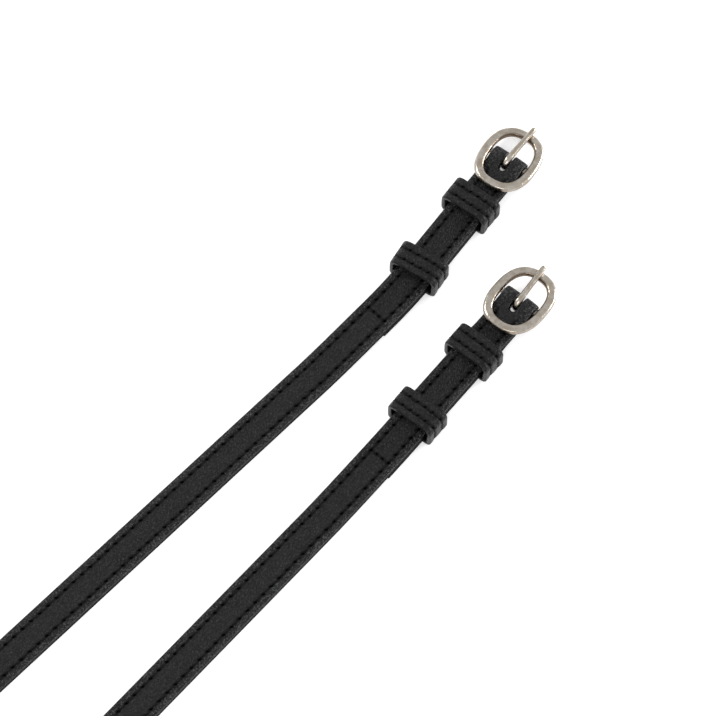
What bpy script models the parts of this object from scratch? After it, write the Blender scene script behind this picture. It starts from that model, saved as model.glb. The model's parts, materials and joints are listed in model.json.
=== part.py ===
"""Pair of black leather spur straps with oval centre-bar buckles, laid flat side by side.

+X runs along the straps towards the buckles, +Y is the left strap's side, +Z is up, and the
straps lie on z = 0. All sizes are in metres.

Each strap is a face leather that folds round the buckle's centre bar and returns beneath as
the turn-back, a lining between them that runs on to the tip, a fixed keeper, a loose runner
keeper, an oval frame, a wire tongue and its sewing threads.
"""
import math

import bmesh
import bpy
from mathutils import Matrix, Vector

# Leather
STRAP_WIDTH = 0.0126
STRAP_LENGTH = 0.460
FACE_THICK = 0.00125
LINING_THICK = 0.00095
EDGE_BEVEL = 0.00025
GAP = 0.0003
TIP_LENGTH = 0.015
TURNBACK_END = 0.0755
LINING_START = 0.0193

# Buckle
FRAME_LENGTH = 0.0274
FRAME_WIDTH = 0.0204
BAND_WIDTH = 0.0032
BAND_HEIGHT = 0.0024
FRAME_SQUARENESS = 2.5
SECTION_ROUNDING = 0.8
BAR_RADIUS = 0.00115
BAR_DROP = 0.0012
WIRE_RADIUS = 0.0009
TONGUE_PLAY = 0.00025
TONGUE_OVERHANG = 0.0009
TONGUE_POINT = 0.0022
TONGUE_TIP_SHARE = 0.35
EYE_START = 325.0
SLOT_WIDTH = 0.0031
SLOT_START = 0.0052

# Keepers
KEEPER_LENGTH = 0.0094
KEEPER_THICK = 0.0015
KEEPER_INNER_WIDTH = 0.0146
KEEPER_ROOM = 0.0029
KEEPER_INNER_CORNER = 0.0010
KEEPER_SEAM_SPACING = 0.0038
KEEPER_SEAM_FOOT = 0.0035

# Sewing and holes
THREAD_RADIUS = 0.0003
THREAD_RISE = 0.00015
SEAM_INSET = 0.0028
SEAM_START = 0.0150
CROSS_SEAM_AT = 0.0727
GROOVE_DEPTH = 0.00045
GROOVE_HALF = 0.0007
HOLE_RADIUS = 0.0016
HOLE_COUNT = 9
HOLE_PITCH = 0.0127
LAST_HOLE_FROM_TIP = 0.036

# Heights of the lining's middle, which every other layer follows
LAYER_OFFSET = LINING_THICK / 2 + GAP + FACE_THICK / 2
PINCH_OFFSET = GAP / 2 + FACE_THICK / 2
FOLD_RADIUS = BAR_RADIUS + GAP + FACE_THICK / 2
STACK_THICK = 2 * FACE_THICK + LINING_THICK + 2 * GAP
KEEPER_HEIGHT = 2 * KEEPER_THICK + GAP + STACK_THICK + KEEPER_ROOM
MID_AT_KEEPERS = KEEPER_THICK + GAP + STACK_THICK / 2
MID_ON_FLOOR = LINING_THICK / 2

# Stretches along a strap, measured from the bar towards the tip
LIFT_TO_KEEPERS = (0.002, 0.016)
PINCH_IN = (0.0, 0.009)
PINCH_OUT = (0.0140, 0.0190)
DESCENT = (0.058, 0.104)

# How each strap lies: where its bar is, its direction at the buckle and along the body (in
# degrees from +X), the stretch where it bends, and how its loose pieces rest
SIDES = {
    "left": {
        "bar": (0.0, 0.0),
        "buckle_heading": 6.0,
        "body_heading": -1.95,
        "bend": (0.052, 0.072),
        "bar_height": 0.0033,
        "frame_tilt": 12.6,
        "frame_twist": 6.0,
        "tongue_turn": 0.0,
        "fixed_keeper_at": 0.0217,
        "runner_at": 0.0508,
        "runner_turn": 4.5,
    },
    "right": {
        "bar": (-0.0370, -0.0378),
        "buckle_heading": 3.2,
        "body_heading": 0.6,
        "bend": (0.056, 0.076),
        "bar_height": 0.0041,
        "frame_tilt": 8.8,
        "frame_twist": 2.0,
        "tongue_turn": 5.0,
        "fixed_keeper_at": 0.0242,
        "runner_at": 0.0536,
        "runner_turn": 1.0,
    },
}


def clear_scene():
    for thing in list(bpy.data.objects):
        bpy.data.objects.remove(thing, do_unlink=True)


def make_material(name, colour, roughness, metallic):
    material = bpy.data.materials.new(name)
    material.use_nodes = True
    shader = material.node_tree.nodes["Principled BSDF"]
    shader.inputs["Base Color"].default_value = (*colour, 1.0)
    shader.inputs["Roughness"].default_value = roughness
    shader.inputs["Metallic"].default_value = metallic
    return material


def smooth_step(low, high, value):
    share = min(1.0, max(0.0, (value - low) / (high - low)))
    return share * share * (3 - 2 * share)


def heading_at(side, s):
    """Direction towards the buckle at s, turning evenly along the bend."""
    low, high = side["bend"]
    share = min(1.0, max(0.0, (s - low) / (high - low)))
    degrees = side["buckle_heading"] + share * (side["body_heading"] - side["buckle_heading"])
    return math.radians(degrees)


def point_at(side, s, across=0.0, z=0.0):
    """World point at distance s from the bar and across to the +Y side."""
    low, high = side["bend"]
    start = math.radians(side["buckle_heading"])
    end = math.radians(side["body_heading"])
    bend_length = min(max(s - low, 0.0), high - low)
    before = min(s, low)
    after = max(s - high, 0.0)
    x, y = side["bar"]
    x -= before * math.cos(start)
    y -= before * math.sin(start)
    if bend_length > 0:
        here = heading_at(side, low + bend_length)
        radius = (high - low) / (start - end)
        x -= radius * (math.sin(start) - math.sin(here))
        y -= radius * (math.cos(here) - math.cos(start))
    x -= after * math.cos(end)
    y -= after * math.sin(end)
    heading = heading_at(side, s)
    return Vector((x - across * math.sin(heading), y + across * math.cos(heading), z))


def mid_height(side, s):
    """Height of the lining's middle: bar, keepers, then down to the floor."""
    at_bar = side["bar_height"]
    up = at_bar + (MID_AT_KEEPERS - at_bar) * smooth_step(*LIFT_TO_KEEPERS, s)
    return up - (MID_AT_KEEPERS - MID_ON_FLOOR) * smooth_step(*DESCENT, s)


def layer_offset(s):
    """Distance from the lining's middle to the face's middle: fold, pinch, then the stack."""
    pinched = FOLD_RADIUS + (PINCH_OFFSET - FOLD_RADIUS) * smooth_step(*PINCH_IN, s)
    return pinched + (LAYER_OFFSET - PINCH_OFFSET) * smooth_step(*PINCH_OUT, s)


def tip_share(s):
    """Share of the full width left at s, down to a small blunt end at the tip."""
    along = min(1.0, max(0.0, (s - (STRAP_LENGTH - TIP_LENGTH)) / TIP_LENGTH))
    return max(0.12, (1 - along ** 1.7) ** 0.8)


def spread(low, high, count):
    return [low + (high - low) * i / count for i in range(count + 1)]


def stations(side, start, end):
    """Distances along a strap, close together only where it curves."""
    places = spread(0.0, 0.0090, 5)
    places += spread(0.0115, 0.0190, 5)
    places += spread(*side["bend"], 4)
    places += spread(0.062, 0.104, 7)
    places += spread(STRAP_LENGTH - TIP_LENGTH, STRAP_LENGTH, 7)
    kept = sorted(p for p in places if start + 0.0008 < p < end - 0.0008)
    return [start] + kept + [end]


def loft(name, rings, closed=False):
    """Mesh through rings of equal count, with flat end caps unless it closes on itself."""
    mesh = bmesh.new()
    rows = [[mesh.verts.new(point) for point in ring] for ring in rings]
    count = len(rows[0])
    pairs = list(zip(rows, rows[1:]))
    if closed:
        pairs.append((rows[-1], rows[0]))
    for low, high in pairs:
        for i in range(count):
            j = (i + 1) % count
            mesh.faces.new((low[i], low[j], high[j], high[i]))
    if not closed:
        mesh.faces.new(rows[0])
        mesh.faces.new(rows[-1])
    bmesh.ops.recalc_face_normals(mesh, faces=mesh.faces)
    data = bpy.data.meshes.new(name)
    mesh.to_mesh(data)
    mesh.free()
    return data


def add_node(name, data, material, parent, smooth=True):
    """Named object for one sub-part."""
    data.materials.append(material)
    if smooth:
        data.shade_smooth()
        data.set_sharp_from_angle(angle=math.radians(40))
    node = bpy.data.objects.new(name, data)
    bpy.context.scene.collection.objects.link(node)
    node.parent = parent
    return node


def add_cutter(name, data, parent):
    cutter = bpy.data.objects.new(name, data)
    bpy.context.scene.collection.objects.link(cutter)
    cutter.parent = parent
    cutter.hide_render = True
    cutter.display_type = "WIRE"
    return cutter


def cut(node, cutter):
    boolean = node.modifiers.new(cutter.name, "BOOLEAN")
    boolean.operation = "DIFFERENCE"
    boolean.object = cutter


def strip_outline(width, thick, grooves):
    """Cross-section of a leather strip: bevelled corners, V grooves on the grain side."""
    half = width / 2
    top = thick / 2
    outline = [(half - EDGE_BEVEL, -top), (half, -top + EDGE_BEVEL)]
    outline += [(half, top - EDGE_BEVEL), (half - EDGE_BEVEL, top)]
    for place in sorted(grooves, reverse=True):
        outline += [(place + GROOVE_HALF, top), (place, top - GROOVE_DEPTH)]
        outline += [(place - GROOVE_HALF, top)]
    outline += [(-half + EDGE_BEVEL, top), (-half, top - EDGE_BEVEL)]
    outline += [(-half, -top + EDGE_BEVEL), (-half + EDGE_BEVEL, -top)]
    return outline


def sheet_rings(side, profile, outline):
    """Rings of the outline along a side-view profile of (distance, height) points."""
    rings = []
    last = len(profile) - 1
    for i, (s, z) in enumerate(profile):
        before = profile[max(i - 1, 0)]
        after = profile[min(i + 1, last)]
        run = Vector((after[0] - before[0], after[1] - before[1])).normalized()
        grain = Vector((-run.y, run.x))
        share = tip_share(s)
        ring = []
        for across, out in outline:
            ring.append(point_at(side, s + out * grain.x, across * share, z + out * grain.y))
        rings.append(ring)
    return rings


def face_profile(side):
    """Side view of the face: turn-back, fold round the bar, then out to the tip."""
    back = [(s, mid_height(side, s) - layer_offset(s)) for s in stations(side, 0.0, TURNBACK_END)]
    fold = []
    for degrees in range(250, 109, -20):
        angle = math.radians(degrees)
        reach = FOLD_RADIUS * math.cos(angle)
        fold.append((reach, side["bar_height"] + FOLD_RADIUS * math.sin(angle)))
    out = [(s, mid_height(side, s) + layer_offset(s)) for s in stations(side, 0.0, STRAP_LENGTH)]
    return back[::-1] + fold + out


def slot_cutter(name, side, parent):
    """Straight-through block with a round end for the crew slot at the fold."""
    half = SLOT_WIDTH / 2
    outline = [(-0.006, half), (-0.006, -half)]
    for degrees in range(-90, 91, 30):
        angle = math.radians(degrees)
        outline.append((SLOT_START - half + half * math.cos(angle), half * math.sin(angle)))
    rings = []
    for z in (-0.004, 0.012):
        rings.append([point_at(side, s, across, z) for s, across in outline])
    return add_cutter(name, loft(name, rings), parent)


def hole_cutter(name, side, s, parent):
    """Upright round punch for one adjusting hole."""
    centre = point_at(side, s)
    rings = []
    for z in (-0.002, 0.006):
        ring = []
        for i in range(12):
            angle = math.tau * i / 12
            ring.append(centre + Vector((HOLE_RADIUS * math.cos(angle),
                                         HOLE_RADIUS * math.sin(angle), z)))
        rings.append(ring)
    return add_cutter(name, loft(name, rings), parent)


def tube_rings(points, across_axis, radius, sides, end_radius=None):
    """Rings of a round thread or wire along points that lie in one upright plane."""
    rings = []
    last = len(points) - 1
    for i, point in enumerate(points):
        run = (points[min(i + 1, last)] - points[max(i - 1, 0)]).normalized()
        side_way = (across_axis - run * across_axis.dot(run)).normalized()
        up_way = side_way.cross(run)
        size = radius
        if end_radius is not None and i == last:
            size = end_radius
        ring = []
        for k in range(sides):
            angle = math.tau * (k + 0.5) / sides
            ring.append(point + size * (side_way * math.cos(angle) + up_way * math.sin(angle)))
        rings.append(ring)
    return rings


def make_straps(name, side, leather, parent):
    outline = strip_outline(STRAP_WIDTH, FACE_THICK, seam_places())
    rings = sheet_rings(side, face_profile(side), outline)
    face = add_node(name + "_strap_face", loft(name + "_strap_face", rings), leather, parent)
    places = stations(side, LINING_START, STRAP_LENGTH - 0.0002)
    profile = [(s, mid_height(side, s)) for s in places]
    rings = sheet_rings(side, profile, strip_outline(STRAP_WIDTH, LINING_THICK, []))
    lining = add_node(name + "_strap_lining", loft(name + "_strap_lining", rings), leather, parent)
    cut(face, slot_cutter(name + "_slot_cutter", side, parent))
    for i in range(HOLE_COUNT):
        s = STRAP_LENGTH - LAST_HOLE_FROM_TIP - i * HOLE_PITCH
        cutter = hole_cutter("%s_hole_cutter_%d" % (name, i + 1), side, s, parent)
        cut(face, cutter)
        cut(lining, cutter)


def seam_places():
    return [STRAP_WIDTH / 2 - SEAM_INSET, SEAM_INSET - STRAP_WIDTH / 2]


def thread_height(side, s):
    return mid_height(side, s) + layer_offset(s) + FACE_THICK / 2 + THREAD_RISE


def make_edge_seams(name, side, thread, parent):
    """One thread in each groove, from beside the buckle to the taper of the tip."""
    for label, across in zip(("far", "near"), seam_places()):
        places = stations(side, SEAM_START, STRAP_LENGTH - 0.004)
        points = [point_at(side, s, across * tip_share(s), thread_height(side, s)) for s in places]
        rings = tube_rings(points, Vector((0, 1, 0)), THREAD_RADIUS, 5)
        node = "%s_%s_edge_seam" % (name, label)
        add_node(node, loft(node, rings), thread, parent)


def make_cross_seam(name, side, thread, parent):
    """Thread across the strap that closes off the turn-back, between the edge seams."""
    reach = STRAP_WIDTH / 2 - SEAM_INSET - THREAD_RADIUS - GAP
    z = thread_height(side, CROSS_SEAM_AT) + GAP
    points = [point_at(side, CROSS_SEAM_AT, across, z) for across in (-reach, 0.0, reach)]
    rings = tube_rings(points, Vector((1, 0, 0)), THREAD_RADIUS, 5)
    node = name + "_cross_seam"
    add_node(node, loft(node, rings), thread, parent)


def frame_point(angle, half_length, half_width):
    """Point on the frame's rounded oval, between an ellipse and a rectangle."""
    power = 2 / FRAME_SQUARENESS
    cosine = math.cos(angle)
    sine = math.sin(angle)
    x = half_length * math.copysign(abs(cosine) ** power, cosine)
    y = half_width * math.copysign(abs(sine) ** power, sine)
    return Vector((x, y, BAR_DROP))


def make_frame(name, metal, pivot, twist):
    """Oval ring, a little askew on its centre bar, modelled about the bar's axis."""
    half_length = (FRAME_LENGTH - BAND_WIDTH) / 2
    half_width = (FRAME_WIDTH - BAND_WIDTH) / 2
    count = 44
    centres = [frame_point(math.tau * i / count, half_length, half_width) for i in range(count)]
    rings = []
    for i, centre in enumerate(centres):
        run = (centres[(i + 1) % count] - centres[i - 1]).normalized()
        out = Vector((run.y, -run.x, 0))
        ring = []
        for k in range(10):
            angle = math.tau * (k + 0.5) / 10
            wide = BAND_WIDTH / 2 * math.copysign(abs(math.cos(angle)) ** SECTION_ROUNDING, math.cos(angle))
            tall = BAND_HEIGHT / 2 * math.copysign(abs(math.sin(angle)) ** SECTION_ROUNDING, math.sin(angle))
            ring.append(centre + out * wide + Vector((0, 0, tall)))
        rings.append(ring)
    data = loft(name + "_buckle_frame", rings, closed=True)
    data.transform(Matrix.Rotation(math.radians(twist), 4, "Z"))
    frame = add_node(name + "_buckle_frame", data, metal, pivot)
    ends = [Vector((0, -half_width, 0)), Vector((0, 0, 0)), Vector((0, half_width, 0))]
    rings = tube_rings(ends, Vector((1, 0, 0)), BAR_RADIUS, 14)
    bar = add_cutter(name + "_bar_cutter", loft(name + "_bar_cutter", rings), pivot)
    boolean = frame.modifiers.new("centre_bar", "BOOLEAN")
    boolean.operation = "UNION"
    boolean.object = bar


def make_tongue(name, metal, pivot, turn):
    """Wire prong: an open loop round the bar, then straight out over the frame's far end."""
    loop = BAR_RADIUS + TONGUE_PLAY + WIRE_RADIUS
    rest_x = (FRAME_LENGTH - BAND_WIDTH) / 2
    rest_z = BAR_DROP + BAND_HEIGHT / 2 + GAP + WIRE_RADIUS
    rise = math.atan2(rest_z - loop, rest_x)
    end_x = FRAME_LENGTH / 2 + TONGUE_OVERHANG
    points = []
    for i in range(13):
        angle = math.radians(EYE_START) + (math.pi / 2 + rise - math.radians(EYE_START)) * i / 12
        points.append(Vector((loop * math.cos(angle), 0, loop * math.sin(angle))))
    start = points[-1]
    for x in (0.004, 0.008, end_x - TONGUE_POINT, end_x):
        points.append(Vector((x, 0, start.z + (x - start.x) * math.tan(rise))))
    rings = tube_rings(points, Vector((0, 1, 0)), WIRE_RADIUS, 10, WIRE_RADIUS * TONGUE_TIP_SHARE)
    data = loft(name + "_buckle_tongue", rings)
    data.transform(Matrix.Rotation(math.radians(turn), 4, "Z"))
    add_node(name + "_buckle_tongue", data, metal, pivot)


def keeper_path(outset):
    """Closed path of (across, height) points of a rounded rectangle, with outward normals."""
    half = KEEPER_INNER_WIDTH / 2 + outset
    low = KEEPER_THICK - outset
    high = KEEPER_HEIGHT - KEEPER_THICK + outset
    corner = KEEPER_INNER_CORNER + outset
    path = []
    centres = [(1, high, 0), (-1, high, 90), (-1, low, 180), (1, low, 270)]
    for way, level, first in centres:
        centre_y = way * (half - corner)
        centre_z = level - corner if level == high else level + corner
        for degrees in spread(first, first + 90, 4):
            angle = math.radians(degrees)
            out = Vector((0, math.cos(angle), math.sin(angle)))
            path.append((Vector((0, centre_y, centre_z)) + out * corner, out))
    return path


def make_keeper(name, leather, thread, pivot):
    """Loop of folded leather strip with two rows of sewing round it, and those threads."""
    lines = [KEEPER_SEAM_SPACING / 2, -KEEPER_SEAM_SPACING / 2]
    outline = strip_outline(KEEPER_LENGTH, KEEPER_THICK, lines)
    rings = []
    for point, out in keeper_path(KEEPER_THICK / 2):
        rings.append([point + Vector((along, 0, 0)) + out * away for along, away in outline])
    add_node(name, loft(name, rings, closed=True), leather, pivot)
    surface = keeper_path(KEEPER_THICK)
    upper = [entry for entry in surface if entry[0].z > KEEPER_SEAM_FOOT]
    for label, line in zip(("front", "back"), lines):
        points = []
        for point, out in [(Vector((0, upper[0][0].y, KEEPER_SEAM_FOOT)), Vector((0, 1, 0)))] + upper + [
                (Vector((0, upper[-1][0].y, KEEPER_SEAM_FOOT)), Vector((0, -1, 0)))]:
            points.append(point + out * THREAD_RISE + Vector((line, 0, 0)))
        rings = tube_rings(points, Vector((1, 0, 0)), THREAD_RADIUS, 5)
        node = "%s_seam_%s" % (name, label)
        add_node(node, loft(node, rings), thread, pivot)


def add_pivot(name, parent, location, turn, tilt=0.0):
    """Empty on a joint's axis, turned with the strap and tilted about the strap's width."""
    pivot = bpy.data.objects.new(name, None)
    bpy.context.scene.collection.objects.link(pivot)
    pivot.parent = parent
    pivot.location = location
    pivot.rotation_euler = (0.0, math.radians(tilt), turn)
    return pivot


def make_side(name, side, leather, metal, thread, parent):
    make_straps(name, side, leather, parent)
    make_edge_seams(name, side, thread, parent)
    make_cross_seam(name, side, thread, parent)
    heading = math.radians(side["buckle_heading"])
    bar = point_at(side, 0.0, 0.0, side["bar_height"])
    pivot = add_pivot(name + "_bar_axis", parent, bar, heading, side["frame_tilt"])
    make_frame(name, metal, pivot, side["frame_twist"])
    make_tongue(name, metal, pivot, side["tongue_turn"])
    for label, place, turn in (("fixed", side["fixed_keeper_at"], 0.0),
                               ("runner", side["runner_at"], side["runner_turn"])):
        spot = point_at(side, place)
        loop = add_pivot("%s_%s_place" % (name, label), parent, spot, heading + math.radians(turn))
        make_keeper("%s_%s_keeper" % (name, label), leather, thread, loop)


def centre_pair(pair):
    """Move the pair so that the middle of its footprint is at the origin."""
    bpy.context.view_layer.update()
    corners = []
    for thing in bpy.data.objects:
        if thing.type == "MESH" and not thing.hide_render:
            corners += [thing.matrix_world @ vertex.co for vertex in thing.data.vertices]
    for axis in (0, 1):
        values = [corner[axis] for corner in corners]
        pair.location[axis] -= (min(values) + max(values)) / 2


def main():
    clear_scene()
    leather = make_material("black_leather", (0.018, 0.018, 0.020), 0.48, 0.0)
    metal = make_material("nickel", (0.60, 0.56, 0.50), 0.28, 1.0)
    thread = make_material("black_thread", (0.012, 0.012, 0.013), 0.60, 0.0)
    pair = bpy.data.objects.new("pair", None)
    bpy.context.scene.collection.objects.link(pair)
    for name, side in SIDES.items():
        make_side(name, side, leather, metal, thread, pair)
    centre_pair(pair)


main()
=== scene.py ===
# %% [markdown]
# # A pair of black leather spur straps
# Each strap holds one spur on a riding boot. It is a face leather that folds round a buckle's
# centre bar, a lining sewn under it, two keeper loops, an oval frame and a wire tongue.
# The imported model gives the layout, and this lesson makes the finished surfaces round it.

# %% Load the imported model
import json
import math

import bpy
import numpy as np
from mathutils import Matrix, Vector


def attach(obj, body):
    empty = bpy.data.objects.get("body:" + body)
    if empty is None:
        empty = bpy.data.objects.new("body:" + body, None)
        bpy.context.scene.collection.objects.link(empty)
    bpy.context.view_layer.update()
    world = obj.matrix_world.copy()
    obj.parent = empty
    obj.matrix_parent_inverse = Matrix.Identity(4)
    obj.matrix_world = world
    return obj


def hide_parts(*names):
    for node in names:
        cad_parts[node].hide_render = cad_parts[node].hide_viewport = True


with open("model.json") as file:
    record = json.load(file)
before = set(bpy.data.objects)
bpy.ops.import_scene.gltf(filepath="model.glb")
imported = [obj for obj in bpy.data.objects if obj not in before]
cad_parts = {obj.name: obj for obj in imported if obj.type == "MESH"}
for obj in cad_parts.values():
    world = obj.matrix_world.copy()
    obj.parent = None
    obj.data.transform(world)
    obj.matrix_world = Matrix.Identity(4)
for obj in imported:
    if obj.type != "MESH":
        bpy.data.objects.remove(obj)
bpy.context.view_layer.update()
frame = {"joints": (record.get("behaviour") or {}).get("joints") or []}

bpy.ops.object.select_all(action="DESELECT")

# %% [markdown]
# ## Sizes
# Leather is measured in fractions of a millimetre, so every size has a name here. They are the
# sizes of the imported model. The visible layers are a little thicker on their hidden sides, so
# that the sewn stack looks pressed together.

# %% Sizes in metres
STRAP_WIDTH = 0.0126
STRAP_LENGTH = 0.460
FACE_THICK = 0.00125
LINING_THICK = 0.00095
GAP = 0.0003
PRESSED = 0.00014
TIP_LENGTH = 0.015
TURNBACK_END = 0.0755
LINING_START = 0.0193
BAR_RADIUS = 0.00115
KEEPER_LENGTH = 0.0094
KEEPER_THICK = 0.0015
KEEPER_INNER_WIDTH = 0.0146
KEEPER_ROOM = 0.0029
SEAM_INSET = 0.0027
SEAM_PITCH = 0.00378

LAYER_OFFSET = LINING_THICK / 2 + GAP + FACE_THICK / 2
PINCH_OFFSET = GAP / 2 + FACE_THICK / 2
FOLD_RADIUS = BAR_RADIUS + GAP + FACE_THICK / 2
STACK_THICK = 2 * FACE_THICK + LINING_THICK + 2 * GAP
KEEPER_HEIGHT = 2 * KEEPER_THICK + GAP + STACK_THICK + KEEPER_ROOM
MID_AT_KEEPERS = KEEPER_THICK + GAP + STACK_THICK / 2
MID_ON_FLOOR = LINING_THICK / 2
SEAM_ROWS = (STRAP_WIDTH / 2 - SEAM_INSET, SEAM_INSET - STRAP_WIDTH / 2)
print("Stack under a keeper:", round(STACK_THICK * 1000, 2), "mm; keeper:", round(KEEPER_HEIGHT * 1000, 2))

# %% [markdown]
# ## How each strap lies
# The bar's place and direction come from the buckle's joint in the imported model. The rest says
# how the strap bends on the table and where its loose pieces have come to rest.

# %% Layout of the two straps
SIDES = {
    "left": {"body_heading": -1.95, "bend": (0.052, 0.072), "frame_tilt": 12.6, "frame_twist": 6.0,
             "tongue_turn": 0.0, "fixed_at": 0.0217, "runner_at": 0.0508, "runner_turn": 4.5, "blunt": 0.60},
    "right": {"body_heading": 0.6, "bend": (0.056, 0.076), "frame_tilt": 8.8, "frame_twist": 2.0,
              "tongue_turn": 5.0, "fixed_at": 0.0242, "runner_at": 0.0536, "runner_turn": 1.0, "blunt": 0.70},
}
for joint in frame["joints"]:
    if joint["name"].endswith("buckle_swing"):
        layout = SIDES[joint["name"].split("_")[0]]
        layout["bar"] = Vector(joint["pos_m"])
        layout["buckle_heading"] = math.degrees(math.atan2(-joint["axis"][0], joint["axis"][1]))
        print(joint["name"], "turns about", [round(v, 4) for v in layout["bar"]],
              "heading", round(layout["buckle_heading"], 2))

# %% [markdown]
# ## Camera
# The view looks down at about 65 degrees, along the straps' diagonal, from far enough away that
# the two straps hardly converge. A long lens keeps the near and far buckle the same size.

# %% Camera
VIEW_AZIMUTH = -47.5
VIEW_ELEVATION = 65.0
VIEW_DISTANCE = 1.5
VIEW_FIELD = 0.2363
VIEW_TARGET = Vector((0.15428, 0.00861, 0.0))
turn = math.radians(VIEW_AZIMUTH)
lift = math.radians(VIEW_ELEVATION)
back = Vector((math.sin(turn) * math.cos(lift), -math.cos(turn) * math.cos(lift), math.sin(lift)))
bpy.ops.object.camera_add(location=VIEW_TARGET + back * VIEW_DISTANCE)
camera = bpy.context.object
camera.name = "camera"
camera.rotation_euler = back.to_track_quat("Z", "Y").to_euler()
camera.data.lens = camera.data.sensor_width * VIEW_DISTANCE / VIEW_FIELD
camera.data.clip_start = 0.01
bpy.context.scene.camera = camera
print("Lens", round(camera.data.lens), "mm")

# %% [markdown]
# ## Laying flat work along a path
# Leather is cut, punched and sewn flat, and bent afterwards. Each piece here is made the same
# way: flat along X first, then laid along its path. A Curve modifier could lay it too, but it
# twists where the leather folds back on itself, so a small function places every point: x is
# the distance along the path, y is across it, and z is out of the grain side.

# %% Helpers for laying flat work
def ease(low, high, value):
    share = np.clip((value - low) / (high - low), 0, 1)
    return share * share * (3 - 2 * share)


def tip_share(s):
    """Share of the strap's width left at s, for the rounded point at its tip."""
    along = np.clip((s - (STRAP_LENGTH - TIP_LENGTH)) / TIP_LENGTH, 0, 1)
    return np.maximum(0.12, (1 - along ** 1.7) ** 0.8)


def ground_points(layout, s, across):
    """World x and y at distance s from the bar and across to the left."""
    low, high = layout["bend"]
    start = math.radians(layout["buckle_heading"])
    end = math.radians(layout["body_heading"])
    inside = np.clip(s - low, 0, high - low)
    heading = start + (end - start) * inside / (high - low)
    radius = (high - low) / (start - end)
    before = np.minimum(s, low)
    after = np.maximum(s - high, 0)
    x = layout["bar"].x - before * math.cos(start) - after * math.cos(end)
    y = layout["bar"].y - before * math.sin(start) - after * math.sin(end)
    x = x - radius * (math.sin(start) - np.sin(heading))
    y = y - radius * (np.cos(heading) - math.cos(start))
    return x - across * np.sin(heading), y + across * np.cos(heading)


def mid_height(layout, s):
    """Height of the lining's middle: the bar, the keepers, then down to the floor."""
    at_bar = layout["bar"].z
    up = at_bar + (MID_AT_KEEPERS - at_bar) * ease(0.002, 0.016, s)
    return up - (MID_AT_KEEPERS - MID_ON_FLOOR) * ease(0.058, 0.104, s)


def layer_offset(s):
    pinched = FOLD_RADIUS + (PINCH_OFFSET - FOLD_RADIUS) * ease(0.0, 0.009, s)
    return pinched + (LAYER_OFFSET - PINCH_OFFSET) * ease(0.014, 0.019, s)


def side_view_path(s, z, zero_at):
    """Path table: distance run along it, place, and the direction out of the grain side."""
    run = np.concatenate([[0], np.cumsum(np.hypot(np.diff(s), np.diff(z)))])
    run = run - np.interp(zero_at, np.arange(len(s)), run)
    along_s = np.gradient(s, run)
    along_z = np.gradient(z, run)
    length = np.hypot(along_s, along_z)
    return {"run": run, "s": s, "z": z, "out_s": -along_z / length, "out_z": along_s / length}


def face_path(layout):
    """Turn-back, fold round the bar and top, with run 0 at the fold's outermost point."""
    fine = 0.00025
    below = np.arange(TURNBACK_END, 0, -fine)
    turn = np.radians(np.arange(270, 89, -5))
    above = np.arange(fine, STRAP_LENGTH + fine / 2, fine)
    s = np.concatenate([below, FOLD_RADIUS * np.cos(turn), above])
    z = np.concatenate([mid_height(layout, below) - layer_offset(below),
                        layout["bar"].z + FOLD_RADIUS * np.sin(turn),
                        mid_height(layout, above) + layer_offset(above)])
    return side_view_path(s, z, len(below) + len(turn) // 2)


def lining_path(layout):
    s = np.arange(LINING_START, STRAP_LENGTH, 0.00025)
    return side_view_path(s, mid_height(layout, s), 0)


def run_at(path, s):
    """Run on the top side of a face path at distance s from the bar."""
    top = path["run"] > 0
    return float(np.interp(s, path["s"][top], path["run"][top]))


def run_on_lining(path, s):
    """Run on the lining at distance s from the bar."""
    return float(np.interp(s, path["s"], path["run"]))


def run_below(path, s):
    """Run on the turn-back at distance s from the bar."""
    below = path["run"] < 0
    return float(np.interp(-s, -path["s"][below], path["run"][below]))


def read_points(piece):
    points = np.empty(len(piece.data.vertices) * 3)
    piece.data.vertices.foreach_get("co", points)
    return points.reshape(-1, 3)


def write_points(piece, points):
    piece.data.vertices.foreach_set("co", np.asarray(points, dtype=np.float64).ravel())
    piece.data.update()


def keep_value(piece, name, values):
    """Per-point number that a material can read."""
    attribute = piece.data.attributes.new(name, "FLOAT", "POINT")
    attribute.data.foreach_set("value", np.asarray(values, dtype=np.float32))


def keep_flat_place(piece):
    """Remembers where each point lay on the flat hide, for the grain to follow."""
    attribute = piece.data.attributes.new("flat_place", "FLOAT_VECTOR", "POINT")
    attribute.data.foreach_set("vector", read_points(piece).astype(np.float32).ravel())


def lay_on_strap(piece, path, layout):
    run, across, out = read_points(piece).T
    index = np.arange(len(path["run"]))
    place = np.interp(run, path["run"], index)
    s = np.interp(place, index, path["s"]) + out * np.interp(place, index, path["out_s"])
    z = np.interp(place, index, path["z"]) + out * np.interp(place, index, path["out_z"])
    x, y = ground_points(layout, s, across * tip_share(s))
    write_points(piece, np.stack([x, y, z], axis=1))
    piece.data.flip_normals()


def start_piece(name):
    """Names the primitive that was just added."""
    piece = bpy.context.object
    piece.name = name
    piece.data.name = name
    return piece


def apply_modifier(piece, name):
    bpy.context.view_layer.objects.active = piece
    bpy.ops.object.modifier_apply(modifier=name)


def smooth_piece(piece, degrees=35):
    bpy.ops.object.select_all(action="DESELECT")
    piece.select_set(True)
    bpy.context.view_layer.objects.active = piece
    bpy.ops.object.shade_smooth_by_angle(angle=math.radians(degrees))


def finish_piece(piece, body, slot, material, *nodes):
    """Gives the piece its material, and puts it in its CAD nodes' place on their body."""
    piece.data.materials.clear()
    piece.data.materials.append(material)
    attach(piece, body)
    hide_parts(*nodes)
    print(piece.name, "has", len(piece.data.polygons), "faces")


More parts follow.
